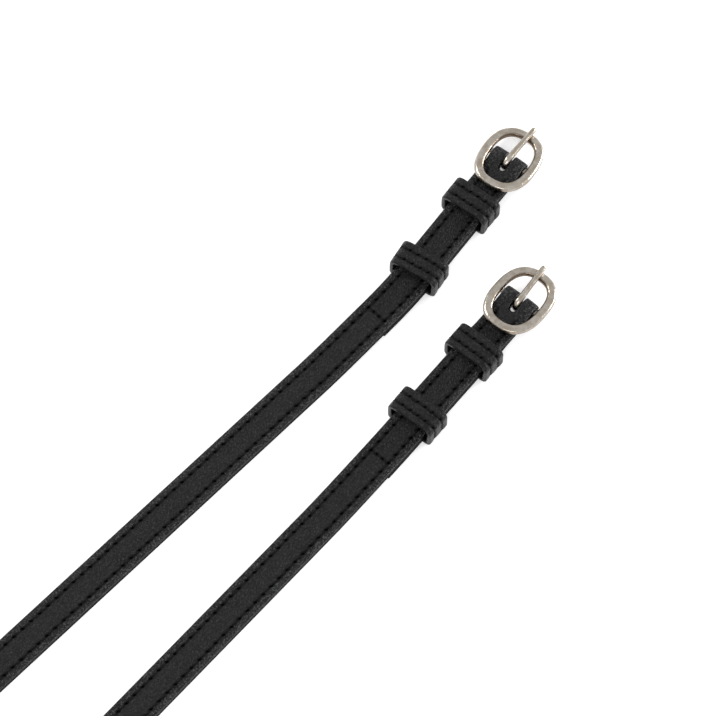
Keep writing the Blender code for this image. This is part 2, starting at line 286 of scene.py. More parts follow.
# %% [markdown]
# ## Leather, thread and metal
# Black bridle leather is nearly matt, with a fine pebbled grain that you only see where light
# rakes it. The grain is a Voronoi cell pattern with a little noise, used as bump on top of the
# real dents that the meshes have. It reads the place that each point had on the flat hide, so
# the pattern bends with the leather. The rounded edges are burnished smoother and shinier, and
# carry a painted highlight line in lighter grey. The cut walls below them are nearly black.
# Painted shade darkens the grain's valleys and the stitch pits, and painted glints fleck the
# grain, most of all on the margins.

# %% Material helpers
def new_material(name):
    material = bpy.data.materials.new(name)
    material.use_nodes = True
    tree = material.node_tree
    return material, tree, tree.nodes["Principled BSDF"]


def add_node(tree, kind, **settings):
    node = tree.nodes.new(kind)
    for key, value in settings.items():
        setattr(node, key, value)
    return node


def noise_node(tree, coordinates, scale, detail=3.0, roughness=0.55):
    noise = add_node(tree, "ShaderNodeTexNoise")
    noise.inputs["Scale"].default_value = scale
    noise.inputs["Detail"].default_value = detail
    noise.inputs["Roughness"].default_value = roughness
    tree.links.new(coordinates, noise.inputs["Vector"])
    return noise.outputs["Fac"]


def ramp_between(tree, value, low, high, start=0.0, end=1.0):
    """Maps value from start..end to low..high."""
    mapped = add_node(tree, "ShaderNodeMapRange")
    mapped.inputs["From Min"].default_value = start
    mapped.inputs["From Max"].default_value = end
    mapped.inputs["To Min"].default_value = low
    mapped.inputs["To Max"].default_value = high
    tree.links.new(value, mapped.inputs["Value"])
    return mapped.outputs["Result"]


def mix_colours(tree, share, first, second):
    """Mix of two colours; each is a tuple or a socket."""
    mix = add_node(tree, "ShaderNodeMix", data_type="RGBA")
    tree.links.new(share, mix.inputs["Factor"])
    for socket, colour in ((mix.inputs["A"], first), (mix.inputs["B"], second)):
        if isinstance(colour, tuple):
            socket.default_value = (*colour, 1.0)
        else:
            tree.links.new(colour, socket)
    return mix.outputs["Result"]


def combine(tree, operation, first, second):
    """Sum, product and so on of two values; each is a number or a socket."""
    step = add_node(tree, "ShaderNodeMath", operation=operation)
    for socket, value in zip(step.inputs, (first, second)):
        if isinstance(value, (int, float)):
            socket.default_value = value
        else:
            tree.links.new(value, socket)
    return step.outputs["Value"]


def bump_by(tree, shader, height, distance, strength=1.0):
    bump = add_node(tree, "ShaderNodeBump")
    bump.inputs["Distance"].default_value = distance
    bump.inputs["Strength"].default_value = strength
    tree.links.new(height, bump.inputs["Height"])
    tree.links.new(bump.outputs["Normal"], shader.inputs["Normal"])


# %% Black leather
def leather_material(name, colour, worn_colour, grain_size, grain_depth, roughness):
    material, tree, shader = new_material(name)
    hide = add_node(tree, "ShaderNodeAttribute", attribute_name="flat_place").outputs["Vector"]
    rim = add_node(tree, "ShaderNodeAttribute", attribute_name="rim").outputs["Fac"]
    dent = add_node(tree, "ShaderNodeAttribute", attribute_name="dent").outputs["Fac"]
    margin = add_node(tree, "ShaderNodeAttribute", attribute_name="margin").outputs["Fac"]
    edge = add_node(tree, "ShaderNodeAttribute", attribute_name="edge").outputs["Fac"]
    wall = add_node(tree, "ShaderNodeAttribute", attribute_name="wall").outputs["Fac"]
    wobble = add_node(tree, "ShaderNodeTexNoise")
    wobble.inputs["Scale"].default_value = 0.6 / grain_size
    tree.links.new(hide, wobble.inputs["Vector"])
    shift = add_node(tree, "ShaderNodeVectorMath", operation="SCALE")
    shift.inputs["Scale"].default_value = grain_size * 0.8
    tree.links.new(wobble.outputs["Color"], shift.inputs[0])
    moved = add_node(tree, "ShaderNodeVectorMath", operation="ADD")
    tree.links.new(hide, moved.inputs[0])
    tree.links.new(shift.outputs["Vector"], moved.inputs[1])
    cells = add_node(tree, "ShaderNodeTexVoronoi", feature="DISTANCE_TO_EDGE")
    cells.inputs["Scale"].default_value = 1 / grain_size
    tree.links.new(moved.outputs["Vector"], cells.inputs["Vector"])
    pebbles = ramp_between(tree, cells.outputs["Distance"], 0.0, 1.0, 0.0, 0.35)
    pores = noise_node(tree, hide, 2.5 / grain_size, 4.0, 0.6)
    clouds = noise_node(tree, hide, 0.12 / grain_size, 3.0)
    flat = combine(tree, "SUBTRACT", 1.0, combine(tree, "MULTIPLY", rim, 0.75))
    grain = combine(tree, "MULTIPLY", combine(tree, "MULTIPLY", pebbles, 0.6), flat)
    height = combine(tree, "ADD", grain, combine(tree, "MULTIPLY", pores, 0.5))
    height = combine(tree, "ADD", height, combine(tree, "MULTIPLY", clouds, 1.2))
    coarse = noise_node(tree, hide, 0.9 / grain_size, 2.0, 0.7)
    coarse = combine(tree, "MULTIPLY", coarse, combine(tree, "MULTIPLY", margin, 4.0))
    height = combine(tree, "ADD", height, coarse)
    bump_by(tree, shader, height, grain_depth)
    tone = ramp_between(tree, clouds, 0.0, 1.0, 0.3, 0.7)
    base = mix_colours(tree, tone, colour, worn_colour)
    # Painted highlights: light flecks mixed into the colour stand in for glints on the grain, most of all on
    # the margins.
    painted_glints = ramp_between(tree, noise_node(tree, hide, 1.1 / grain_size, 2.0, 0.7), 0.0, 1.0, 0.50, 0.66)
    painted_glints = combine(tree, "MULTIPLY", painted_glints, combine(tree, "ADD", margin, 0.32))
    base = mix_colours(tree, painted_glints, base, (0.060, 0.060, 0.060))
    # Painted highlight: the rounded edge is coloured lighter grey for the bright line of light along it; the
    # extra shine given to it further down is real.
    base = mix_colours(tree, combine(tree, "MULTIPLY", edge, 0.6), base, (0.09, 0.09, 0.09))
    # Painted shade: the grain's valleys and the stitch pits and channels are mixed towards near black, and
    # the cut walls get the same near black.
    valley = combine(tree, "MULTIPLY", combine(tree, "SUBTRACT", 1.0, pebbles), 0.35)
    dark = combine(tree, "ADD", valley, combine(tree, "MULTIPLY", dent, 1.6))
    dark = combine(tree, "MINIMUM", combine(tree, "ADD", dark, wall), 0.97)
    black = (colour[0] * 0.1, colour[1] * 0.1, colour[2] * 0.1)
    hollow = combine(tree, "MINIMUM", combine(tree, "ADD", combine(tree, "MULTIPLY", dent, 1.3), wall), 0.95)
    shine = combine(tree, "SUBTRACT", 0.19, combine(tree, "MULTIPLY", hollow, 0.19))
    shine = combine(tree, "ADD", shine, combine(tree, "MULTIPLY", edge, 0.30))
    tree.links.new(shine, shader.inputs["Specular IOR Level"])
    tree.links.new(mix_colours(tree, dark, base, black), shader.inputs["Base Color"])
    rough = combine(tree, "ADD", ramp_between(tree, clouds, roughness - 0.06, roughness + 0.08, 0.3, 0.7),
                    combine(tree, "MULTIPLY", dent, 0.2))
    tree.links.new(combine(tree, "SUBTRACT", rough, combine(tree, "MULTIPLY", rim, 0.08)),
                   shader.inputs["Roughness"])
    return material


black_leather = leather_material("black_leather", (0.0030, 0.0030, 0.0034), (0.0055, 0.0055, 0.0060),
                                 0.0008, 0.00022, 0.33)
keeper_leather = leather_material("keeper_leather", (0.0032, 0.0032, 0.0036), (0.0060, 0.0060, 0.0064),
                                  0.0009, 0.00020, 0.36)
lining_leather = leather_material("lining_leather", (0.0060, 0.0055, 0.0055), (0.0100, 0.0095, 0.0090),
                                  0.0005, 0.00005, 0.55)


# %% Waxed thread
def thread_material():
    """Two-ply waxed thread: slanted plies as bump, with a soft shine on their crowns."""
    material, tree, shader = new_material("waxed_thread")
    place = add_node(tree, "ShaderNodeAttribute", attribute_name="flat_place").outputs["Vector"]
    plies = add_node(tree, "ShaderNodeTexWave", wave_type="BANDS", bands_direction="DIAGONAL")
    plies.inputs["Scale"].default_value = 550
    plies.inputs["Distortion"].default_value = 0.6
    tree.links.new(place, plies.inputs["Vector"])
    fuzz = noise_node(tree, place, 9000, 3.0)
    bump_by(tree, shader, combine(tree, "ADD", plies.outputs["Fac"], combine(tree, "MULTIPLY", fuzz, 0.4)),
            0.00006)
    base = mix_colours(tree, plies.outputs["Fac"], (0.0015, 0.0015, 0.0017), (0.0045, 0.0045, 0.005))
    tree.links.new(base, shader.inputs["Base Color"])
    tree.links.new(ramp_between(tree, fuzz, 0.45, 0.65), shader.inputs["Roughness"])
    shader.inputs["Specular IOR Level"].default_value = 0.12
    return material


waxed_thread = thread_material()


# %% Nickel
def nickel_material():
    """Warm satin nickel over a casting: slow waves, fine brushing, faint tarnish, and painted shade and dark
    reflection in the hollows.
    """
    material, tree, shader = new_material("satin_nickel")
    place = add_node(tree, "ShaderNodeTexCoord").outputs["Object"]
    waves = noise_node(tree, place, 260, 2.0)
    fine = noise_node(tree, place, 3800, 5.0, 0.65)
    tarnish = noise_node(tree, place, 420, 4.0, 0.6)
    shader.inputs["Metallic"].default_value = 1.0
    recess = add_node(tree, "ShaderNodeAttribute", attribute_name="recess").outputs["Fac"]
    base = mix_colours(tree, ramp_between(tree, tarnish, 0.0, 1.0, 0.38, 0.66),
                       (0.53, 0.485, 0.43), (0.37, 0.315, 0.25))
    # Painted shade and reflection: dark brown is mixed in on the inner walls, the outer rim and the
    # underside, where the ring gets less light and mirrors the black leather.
    base = mix_colours(tree, combine(tree, "MULTIPLY", recess, 0.92), base, (0.13, 0.092, 0.062))
    tree.links.new(base, shader.inputs["Base Color"])
    rough = combine(tree, "ADD", ramp_between(tree, fine, 0.16, 0.30, 0.3, 0.7),
                    ramp_between(tree, tarnish, 0.0, 0.12, 0.45, 0.75))
    tree.links.new(rough, shader.inputs["Roughness"])
    height = combine(tree, "ADD", waves, combine(tree, "MULTIPLY", fine, 0.10))
    bump_by(tree, shader, height, 0.00030)
    return material


satin_nickel = nickel_material()
print("Materials:", [m.name for m in bpy.data.materials])

# %% [markdown]
# ## The face leather
# The top leather is one strip, cut from the end of its turn-back to the strap's tip. It starts
# as a grid with a point every half millimetre, because the sewing has to dent it. Solidify
# gives the hide its thickness and Bevel rounds the cut edges. A long slot for the tongue and
# nine adjusting holes are punched while it is still flat.

# %% Face leather, flat
POINT_EVERY = 0.00046
FACE_COLUMNS = 32
EDGE_ROUND = 0.00028
SLOT_WIDTH = 0.0031
SLOT_START = 0.0050
SLOT_BELOW = 0.0040
HOLE_RADIUS = 0.0016
HOLE_COUNT = 9
HOLE_PITCH = 0.0127
LAST_HOLE_FROM_TIP = 0.036


def flat_strip(name, start, end, width, columns, grain_side, flesh_side, step, edge_round):
    """Strip of hide from start to end along X, between the two heights, with rounded edges."""
    length = end - start
    rows = int(length / step)
    bpy.ops.mesh.primitive_grid_add(x_subdivisions=rows, y_subdivisions=columns, size=1,
                                    location=(start + length / 2, 0, grain_side))
    piece = start_piece(name)
    bpy.ops.transform.resize(value=(length, width, 1))
    bpy.ops.object.transform_apply(location=True, rotation=False, scale=True)
    solid = piece.modifiers.new("hide", "SOLIDIFY")
    solid.thickness = grain_side - flesh_side
    solid.offset = -1
    apply_modifier(piece, "hide")
    bevel = piece.modifiers.new("burnished_edge", "BEVEL")
    bevel.width = edge_round
    bevel.segments = 2
    bevel.limit_method = "ANGLE"
    bevel.angle_limit = math.radians(60)
    apply_modifier(piece, "burnished_edge")
    return piece


def punch(piece, punches):
    """Cuts the punches out of the piece and removes them."""
    bpy.ops.object.select_all(action="DESELECT")
    for tool in punches:
        tool.select_set(True)
    bpy.context.view_layer.objects.active = punches[0]
    bpy.ops.object.join()
    tool = bpy.context.object
    cut = piece.modifiers.new("punch", "BOOLEAN")
    cut.operation = "DIFFERENCE"
    cut.object = tool
    apply_modifier(piece, "punch")
    bpy.data.objects.remove(tool, do_unlink=True)


def hole_punch(run):
    bpy.ops.mesh.primitive_cylinder_add(vertices=28, radius=HOLE_RADIUS, depth=0.01,
                                        location=(run, 0, 0))
    return bpy.context.object


def slot_punch(low, high):
    """Crew punch: a block with its two ends rounded by a bevel."""
    bpy.ops.mesh.primitive_cube_add(size=1, location=((low + high) / 2, 0, 0))
    tool = bpy.context.object
    bpy.ops.transform.resize(value=(high - low, SLOT_WIDTH, 0.01))
    bpy.ops.object.transform_apply(location=False, rotation=False, scale=True)
    bpy.ops.object.mode_set(mode="EDIT")
    bpy.ops.mesh.select_all(action="DESELECT")
    bpy.ops.object.mode_set(mode="OBJECT")
    for edge in tool.data.edges:
        first, second = (tool.data.vertices[i].co for i in edge.vertices)
        edge.select = abs(first.z - second.z) > 0.005
    bpy.ops.object.mode_set(mode="EDIT")
    bpy.ops.mesh.select_mode(type="EDGE")
    bpy.ops.mesh.bevel(offset=SLOT_WIDTH * 0.48, segments=8, affect="EDGES")
    bpy.ops.object.mode_set(mode="OBJECT")
    return tool


# %% [markdown]
# ## Where the sewing bites
# Each stitch goes down one hole and comes up at the next, so the leather has a pit at every
# hole, a shallow channel between them and a small swelling on each side. The rim outside the
# seam is pressed thinner, and the middle stays a little proud. These are real dents in the mesh.

# %% Dents, rims and puckers
def seam_dents(points, rows, start, end, pitch, pit_depth=0.00050, channel_depth=0.00008):
    """How deep each point is pressed by rows of sewing, and how much of that is pit."""
    run, across = points[:, 0], points[:, 1]
    depth = np.zeros(len(points))
    pit = np.zeros(len(points))
    inside = (run > start - pitch * 0.6) & (run < end + pitch * 0.6)
    for row in rows:
        off = across - row
        phase = (run - start) / pitch
        from_hole = (phase - np.round(phase)) * pitch
        hole = np.exp(-((from_hole + off) / 0.00078) ** 2 - ((from_hole - off) / 0.00046) ** 2)
        channel = np.exp(-(off / 0.00045) ** 2)
        swelling = np.exp(-((np.abs(off) - 0.00095) / 0.0004) ** 2) * (1 - np.abs(from_hole) / pitch)
        depth += np.where(inside, pit_depth * hole + channel_depth * channel - 0.00005 * swelling, 0)
        pit += np.where(inside, hole + 0.45 * channel, 0)
    return depth, np.clip(pit, 0, 1)


def puckers(points, size, depth):
    """Slow uneven swell of soft leather, the same each time, from a few crossing waves."""
    run, across = points[:, 0], points[:, 1]
    waves = np.zeros(len(points))
    for i, (turn, stretch, start) in enumerate(((0.3, 1.0, 0.4), (1.9, 1.37, 2.2), (2.6, 0.73, 4.1),
                                                (1.1, 1.81, 5.3), (0.8, 2.33, 1.7))):
        direction = run * math.cos(turn) + across * math.sin(turn)
        waves += np.sin(direction * math.tau / (size * stretch) + start
                        + 1.7 * np.sin(run * math.tau / (size * (3.1 + i)) + start))
    return depth * waves / 5


def rim_share(points, width, reach):
    return ease(width / 2 - reach, width / 2 - reach * 0.15, np.abs(points[:, 1]))


def keep_edges(piece, points, width, top, rough_from=None):
    """Painted highlight line and real extra shine on the rounded edge, raw dark wall below it, and rough
    margins that also carry painted glints.
    """
    across = np.abs(points[:, 1])
    wall = ease(width / 2 - 0.00007, width / 2 - 0.00001, across)
    upper = ease(top * 0.2, top * 0.6, points[:, 2])
    keep_value(piece, "wall", wall)
    keep_value(piece, "edge", (1 - wall) * upper * ease(width / 2 - 0.00032, width / 2 - 0.00012, across))
    margin = np.zeros(len(points)) if rough_from is None else ease(rough_from, rough_from + 0.0012, across)
    keep_value(piece, "margin", margin * upper * (1 - wall))


def make_face(side, layout):
    path = face_path(layout)
    start = run_below(path, TURNBACK_END)
    end = run_at(path, STRAP_LENGTH)
    top = FACE_THICK / 2
    piece = flat_strip(side + "_face_leather", start, end, STRAP_WIDTH, FACE_COLUMNS,
                       top, -top - PRESSED, POINT_EVERY, EDGE_ROUND)
    punches = [slot_punch(run_below(path, SLOT_BELOW), run_at(path, SLOT_START))]
    for i in range(HOLE_COUNT):
        punches.append(hole_punch(run_at(path, STRAP_LENGTH - LAST_HOLE_FROM_TIP - i * HOLE_PITCH)))
    punch(piece, punches)
    keep_flat_place(piece)
    points = read_points(piece)
    grain_side = ease(0.0, top, points[:, 2])
    keep_edges(piece, points, STRAP_WIDTH, top, 0.0030)
    depth, pit = seam_dents(points, SEAM_ROWS, run_at(path, SEAM_FROM), run_at(path, SEAM_TO), SEAM_PITCH)
    low, low_pit = seam_dents(points, SEAM_ROWS, run_below(path, CROSS_AT), run_below(path, SEAM_FROM),
                              SEAM_PITCH)
    cross, cross_pit = cross_dents(points, run_at(path, CROSS_AT))
    rim = rim_share(points, STRAP_WIDTH, 0.0013)
    crown = 0.00012 * (1 - (points[:, 1] / (STRAP_WIDTH / 2)) ** 2)
    press = depth + low + cross + rim * 0.00010 - crown - puckers(points, 0.0060, 0.00006)
    points[:, 2] -= grain_side * press
    skive = 1 - ease(start, start + 0.006, points[:, 0])
    points[:, 2] += np.where(points[:, 2] < 0, skive * 0.0006, 0)
    write_points(piece, points)
    keep_value(piece, "dent", np.maximum(np.maximum(pit, low_pit), cross_pit) * grain_side)
    keep_value(piece, "rim", rim)
    lay_on_strap(piece, path, layout)
    smooth_piece(piece, 40)
    finish_piece(piece, side + "_strap", "black_leather", black_leather, side + "_strap_face")


# %% [markdown]
# ## Where the seams run
# The two edge seams start under the buckle and run into the narrowing tip. A short seam across
# the strap closes off the turn-back, a little beyond the runner keeper.

# %% Seam places
SEAM_FROM = 0.0085
SEAM_TO = STRAP_LENGTH - 0.0075
CROSS_AT = 0.0727
CROSS_STITCHES = 3
CROSS_REACH = STRAP_WIDTH / 2 - SEAM_INSET
CROSS_PITCH = 2 * CROSS_REACH / CROSS_STITCHES
UNDER_SEAM_FROM = TURNBACK_END + 0.002


def cross_dents(points, run):
    """The same dents turned across the strap."""
    turned = points[:, [1, 0, 2]]
    inside = np.abs(points[:, 1]) < CROSS_REACH + 0.0004
    depth, pit = seam_dents(turned, (run,), -CROSS_REACH, CROSS_REACH, CROSS_PITCH)
    return np.where(inside, depth, 0), np.where(inside, pit, 0)


for side, layout in SIDES.items():
    make_face(side, layout)

# %% [markdown]
# ## The lining
# The lining is thinner and softer, grain side down. It starts under the fixed keeper, lies
# between the face and its turn-back, and runs on to the tip. Its underside carries the back of
# the two edge seams, sunk in their own dents.

# %% Lining leather
LINING_COLUMNS = 20
LINING_POINT_EVERY = 0.0009
LINING_EDGE_ROUND = 0.0002


def make_lining(side, layout):
    path = lining_path(layout)
    end = float(path["run"][-1])
    half = LINING_THICK / 2
    piece = flat_strip(side + "_lining_leather", 0.0, end, STRAP_WIDTH, LINING_COLUMNS,
                       half + PRESSED, -half, LINING_POINT_EVERY, LINING_EDGE_ROUND)
    punches = []
    for i in range(HOLE_COUNT):
        punches.append(hole_punch(run_on_lining(path, STRAP_LENGTH - LAST_HOLE_FROM_TIP - i * HOLE_PITCH)))
    punch(piece, punches)
    keep_flat_place(piece)
    points = read_points(piece)
    keep_edges(piece, points, STRAP_WIDTH, -half)
    first = run_on_lining(path, UNDER_SEAM_FROM)
    last = run_on_lining(path, SEAM_TO)
    depth, pit = seam_dents(points, SEAM_ROWS, first, last, SEAM_PITCH, 0.00026, 0.00034)
    under = ease(0.0, half, -points[:, 2])
    points[:, 2] += under * np.maximum(depth, 0)
    write_points(piece, points)
    keep_value(piece, "dent", pit * under)
    keep_value(piece, "rim", rim_share(points, STRAP_WIDTH, 0.0008))
    lay_on_strap(piece, path, layout)
    smooth_piece(piece, 40)
    finish_piece(piece, side + "_strap", "lining_leather", lining_leather, side + "_strap_lining")


for side, layout in SIDES.items():
    make_lining(side, layout)

# %% [markdown]
# ## Stitches
# One stitch is a short piece of waxed thread that rises out of a hole, lies slanted across the
# leather and dives into the next. It is made once, as a curve with a round bevel, and an Array
# modifier repeats it at the pitch of the pricking iron. Then the row is laid with the leather.

# %% One stitch and rows of it
THREAD_RADIUS = 0.00027
STITCH_SLANT = 0.00045
GRAIN_SEAM_SINK = 0.00002
UNDER_SEAM_SINK = 0.00048


def one_stitch(name, start, row, height, pitch, upside=1, slant=STITCH_SLANT):
    """Stitch from one hole to the next along X, standing on height, or hanging where upside is -1."""
    bpy.ops.curve.primitive_bezier_curve_add()
    piece = bpy.context.object
    piece.name = name
    first, second = piece.data.splines[0].bezier_points
    sink = 0.00034 * upside
    crown = 0.00020 * upside
    for point, x, way in ((first, 0.10 * pitch, -1), (second, 0.90 * pitch, 1)):
        point.handle_left_type = "FREE"
        point.handle_right_type = "FREE"
        point.co = (start + x, row + way * slant, height - sink)
        inner = (start + x - way * 0.16 * pitch, row + way * slant * 0.8, height + crown)
        outer = (start + x + way * 0.05 * pitch, row + way * slant * 1.1, height - sink * 2)
        point.handle_left = outer if way < 0 else inner
        point.handle_right = inner if way < 0 else outer
    piece.data.dimensions = "3D"
    piece.data.resolution_u = 7
    piece.data.bevel_depth = THREAD_RADIUS
    piece.data.bevel_resolution = 1
    piece.data.use_fill_caps = True
    bpy.ops.object.convert(target="MESH")
    return bpy.context.object


def stitch_row(name, start, end, row, height, pitch, upside=1, slant=STITCH_SLANT):
    """Whole stitches from start to end."""
    piece = one_stitch(name, start, row, height, pitch, upside, slant)
    repeat = piece.modifiers.new("pitch", "ARRAY")
    repeat.count = max(1, int(round((end - start) / pitch)))
    repeat.use_relative_offset = False
    repeat.use_constant_offset = True
    repeat.constant_offset_displace = (pitch, 0, 0)
    apply_modifier(piece, "pitch")
    return piece


def join_pieces(name, parts):
    bpy.ops.object.select_all(action="DESELECT")
    for part in parts:
        part.select_set(True)
    bpy.context.view_layer.objects.active = parts[0]
    bpy.ops.object.join()
    return start_piece(name)


def place_at_origin(piece):
    """Puts the object's turn and place into its mesh."""
    bpy.ops.object.select_all(action="DESELECT")
    piece.select_set(True)
    bpy.context.view_layer.objects.active = piece
    bpy.ops.object.transform_apply(location=True, rotation=True, scale=True)


def make_edge_seam(side, layout, label, row):
    """Top stitches, and the back of the seam on the turn-back and, clear of the floor, the lining."""
    face = face_path(layout)
    lining = lining_path(layout)
    grain = FACE_THICK / 2 - GRAIN_SEAM_SINK
    name = "%s_%s_seam" % (side, label)
    top = stitch_row(name + "_top", run_at(face, SEAM_FROM), run_at(face, SEAM_TO), row, grain, SEAM_PITCH)
    back = stitch_row(name + "_back", run_below(face, CROSS_AT), run_below(face, SEAM_FROM), row, grain,
                      SEAM_PITCH)
    under = stitch_row(name + "_under", run_on_lining(lining, UNDER_SEAM_FROM),
                       run_on_lining(lining, SEAM_TO), row, -LINING_THICK / 2 + UNDER_SEAM_SINK,
                       SEAM_PITCH, -1)
    for part, path in ((top, face), (back, face), (under, lining)):
        place_at_origin(part)
        keep_flat_place(part)
        lay_on_strap(part, path, layout)
    seam = join_pieces(name, [top, back, under])
    smooth_piece(seam, 60)
    finish_piece(seam, side + "_strap", "black_thread", waxed_thread, "%s_%s_edge_seam" % (side, label))


def make_cross_seam(side, layout):
    """Row along X at the right pitch, turned across the strap while it is flat."""
    path = face_path(layout)
    row = stitch_row(side + "_turnback_seam", -CROSS_REACH, CROSS_REACH, 0.0,
                     FACE_THICK / 2 - GRAIN_SEAM_SINK, CROSS_PITCH)
    place_at_origin(row)
    points = read_points(row)
    write_points(row, np.stack([run_at(path, CROSS_AT) - points[:, 1], points[:, 0], points[:, 2]], axis=1))
    keep_flat_place(row)
    lay_on_strap(row, path, layout)
    smooth_piece(row, 60)
    finish_piece(row, side + "_strap", "black_thread", waxed_thread, side + "_cross_seam")


for side, layout in SIDES.items():
    for label, row in zip(("far", "near"), SEAM_ROWS):
        make_edge_seam(side, layout, label, row)
    make_cross_seam(side, layout)

# %% [markdown]
# ## Keeper loops
# A keeper is a strip of thin leather with its raw edges folded under, sewn along both sides and
# bent into a loop. It is made flat like the strap, with a rounder edge, and laid round a
# rounded rectangle. The fixed one is sewn in beside the buckle. The runner slides, so it rides
# on its own body and has come to rest slightly askew.

# %% Keeper loops
KEEPER_ROWS = (0.0019, -0.0019)
KEEPER_PITCH = 0.0031
KEEPER_COLUMNS = 26
KEEPER_POINT_EVERY = 0.00042
KEEPER_EDGE = 0.00068
KEEPER_END_GAP = 0.00008
KEEPER_SEWN_FROM = 0.0095
KEEPER_SEAM_SINK = 0.00014
KEEPER_SLANT = 0.00010
TOP_CORNER = 0.0019
BOTTOM_CORNER = 0.0016
TOP_CROWN = 0.00030


def loop_path():
    """Rounded rectangle of the strip's middle, from the middle of the bottom and round."""
    half = (KEEPER_INNER_WIDTH + KEEPER_THICK) / 2
    low = KEEPER_THICK / 2
    high = KEEPER_HEIGHT - KEEPER_THICK / 2
    u, z = [np.linspace(0, -half + BOTTOM_CORNER, 30)], [np.full(30, low)]
    corners = ((-half, low, BOTTOM_CORNER, 270), (-half, high, TOP_CORNER, 180),
               (half, high, TOP_CORNER, 90), (half, low, BOTTOM_CORNER, 0))
    for edge, level, radius, first in corners:
        angle = np.radians(np.linspace(first, first - 90, 14))
        u.append(edge - math.copysign(radius, edge) + radius * np.cos(angle))
        middle = level + radius if level == low else level - radius
        z.append(middle + radius * np.sin(angle))
    u.append(np.linspace(half - BOTTOM_CORNER, 0, 30))
    z.append(np.full(30, low))
    u, z = np.concatenate(u), np.concatenate(z)
    keep = np.concatenate([[True], np.hypot(np.diff(u), np.diff(z)) > 1e-7])
    run = np.concatenate([[0], np.cumsum(np.hypot(np.diff(u[keep]), np.diff(z[keep])))])
    even = np.arange(0, run[-1], 0.0002)
    return side_view_path(np.interp(even, run, u[keep]), np.interp(even, run, z[keep]), 0)


def lay_on_loop(piece, path, layout, at, turn):
    run, along, out = read_points(piece).T
    index = np.arange(len(path["run"]))
    place = np.interp(run, path["run"], index)
    u = np.interp(place, index, path["s"]) + out * np.interp(place, index, path["out_s"])
    z = np.interp(place, index, path["z"]) + out * np.interp(place, index, path["out_z"])
    top = ease(KEEPER_HEIGHT * 0.6, KEEPER_HEIGHT * 0.9, z)
    z = z + top * TOP_CROWN * (1 - (u / (KEEPER_INNER_WIDTH / 2 + KEEPER_THICK)) ** 2)
    x, y = ground_points(layout, np.array([at]), np.array([0.0]))
    heading = math.radians(layout["buckle_heading"] + turn)
    write_points(piece, np.stack([x[0] - along * math.cos(heading) - u * math.sin(heading),
                                  y[0] - along * math.sin(heading) + u * math.cos(heading), z], axis=1))


def make_keeper(side, layout, kind, body):
    path = loop_path()
    end = float(path["run"][-1]) - KEEPER_END_GAP
    half = KEEPER_THICK / 2
    name = "%s_%s_keeper" % (side, kind)
    at, turn = layout[kind + "_at"], layout["runner_turn"] if kind == "runner" else 0.0
    piece = flat_strip(name + "_loop", KEEPER_END_GAP, end, KEEPER_LENGTH, KEEPER_COLUMNS,
                       half, -half, KEEPER_POINT_EVERY, KEEPER_EDGE)
    keep_flat_place(piece)
    points = read_points(piece)
    first, last = KEEPER_SEWN_FROM, end - KEEPER_SEWN_FROM
    keep_edges(piece, points, KEEPER_LENGTH * 2, half)
    depth, pit = seam_dents(points, KEEPER_ROWS, first, last, KEEPER_PITCH, 0.00020, 0.00007)
    grain_side = ease(0.0, half, points[:, 2])
    bands = 0.00005 * np.cos(points[:, 1] / KEEPER_ROWS[0] * math.pi)
    points[:, 2] -= grain_side * (depth - bands - puckers(points, 0.0050, 0.00008))
    write_points(piece, points)
    keep_value(piece, "dent", pit * grain_side)
    keep_value(piece, "rim", rim_share(points, KEEPER_LENGTH, 0.0009))
    lay_on_loop(piece, path, layout, at, turn)
    smooth_piece(piece, 50)
    finish_piece(piece, side + "_" + body, "black_leather", keeper_leather, name)
    rows = []
    for i, row in enumerate(KEEPER_ROWS):
        stitches = stitch_row("%s_row_%d" % (name, i), first, last, row, half - KEEPER_SEAM_SINK,
                              KEEPER_PITCH, slant=KEEPER_SLANT)
        place_at_origin(stitches)
        keep_flat_place(stitches)
        lay_on_loop(stitches, path, layout, at, turn)
        rows.append(stitches)
    thread = join_pieces(name + "_stitches", rows)
    smooth_piece(thread, 60)
    finish_piece(thread, side + "_" + body, "black_thread", waxed_thread,
                 name + "_seam_front", name + "_seam_back")


for side, layout in SIDES.items():
    make_keeper(side, layout, "fixed", "strap")
    make_keeper(side, layout, "runner", "runner")

# %% [markdown]
# ## Buckle frame
# The frame is one casting: an oval between an ellipse and a rectangle, with a bar across its
# middle a little below its plane. A torus gives the ring with a clean flow of faces, and its
# points are moved out to the oval and to a flatter section. The bar is a cylinder joined to it
# by a Boolean union, so that the two are one closed skin.

# %% Buckle frame
FRAME_LENGTH = 0.0274
FRAME_WIDTH = 0.0204
BAND_WIDTH = 0.0032
BAND_HEIGHT = 0.0024
FRAME_SQUARENESS = 2.5
BAR_DROP = 0.0012
RING_TUBE = 0.1
SECTION_WIDE_ROUNDING = 0.80
SECTION_TALL_ROUNDING = 0.72


def buckle_place(layout):
    """Turns a piece modelled about the bar to where the buckle rests."""
    heading = Matrix.Rotation(math.radians(layout["buckle_heading"]), 4, "Z")
    tilt = Matrix.Rotation(math.radians(layout["frame_tilt"]), 4, "Y")
    return Matrix.Translation(layout["bar"]) @ heading @ tilt


def rounded_power(value, power):
    return np.sign(value) * np.abs(value) ** power


